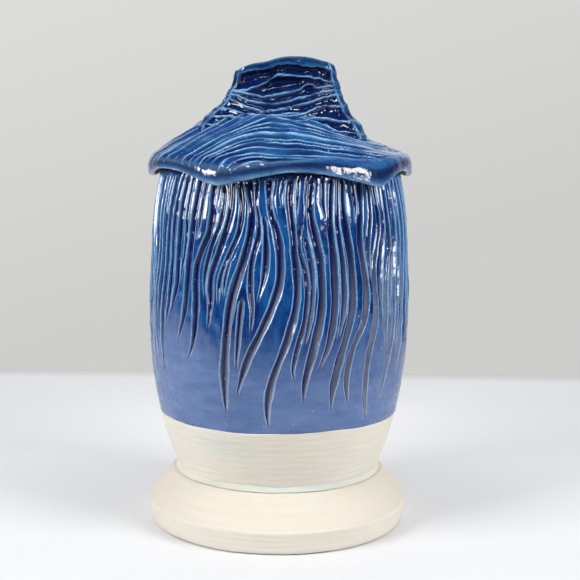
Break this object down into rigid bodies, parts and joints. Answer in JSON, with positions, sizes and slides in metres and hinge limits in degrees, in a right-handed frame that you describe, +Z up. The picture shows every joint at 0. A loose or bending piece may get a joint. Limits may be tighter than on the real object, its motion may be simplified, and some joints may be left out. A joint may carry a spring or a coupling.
{
  "type": "yarn bowl",
  "caption": "Tall lidded stoneware yarn bowl: barrel jar carved with long wavy grooves under blue glaze, bare flared foot, and a loose pointed cap with a pinched knob.",
  "frame": {"origin": "centre of the foot's standing face", "axes": "+Z up along the jar's turning axis; -Y is the front, which faces the knob's broad carved side; +X is the front's right"},
  "size_m": [0.1323, 0.132, 0.2322],
  "materials": {
    "blue_glaze": "glossy cobalt glaze, pale where it breaks over carved edges",
    "bare_stoneware": "matte unglazed cream stoneware"
  },
  "bodies": {
    "jar": {"pedestal_foot": "bare_stoneware", "foot_join_coil": "bare_stoneware", "jar_body": "blue_glaze"},
    "lid": {"lid_cap": "blue_glaze", "lid_knob": "blue_glaze", "lid_locating_ring": "bare_stoneware"}
  },
  "joints": [
    {"name": "lid_lift", "type": "slide", "parent": "jar", "child": "lid", "axis": [0, 0, 1], "range_m": [0, 0.07]}
  ]
}
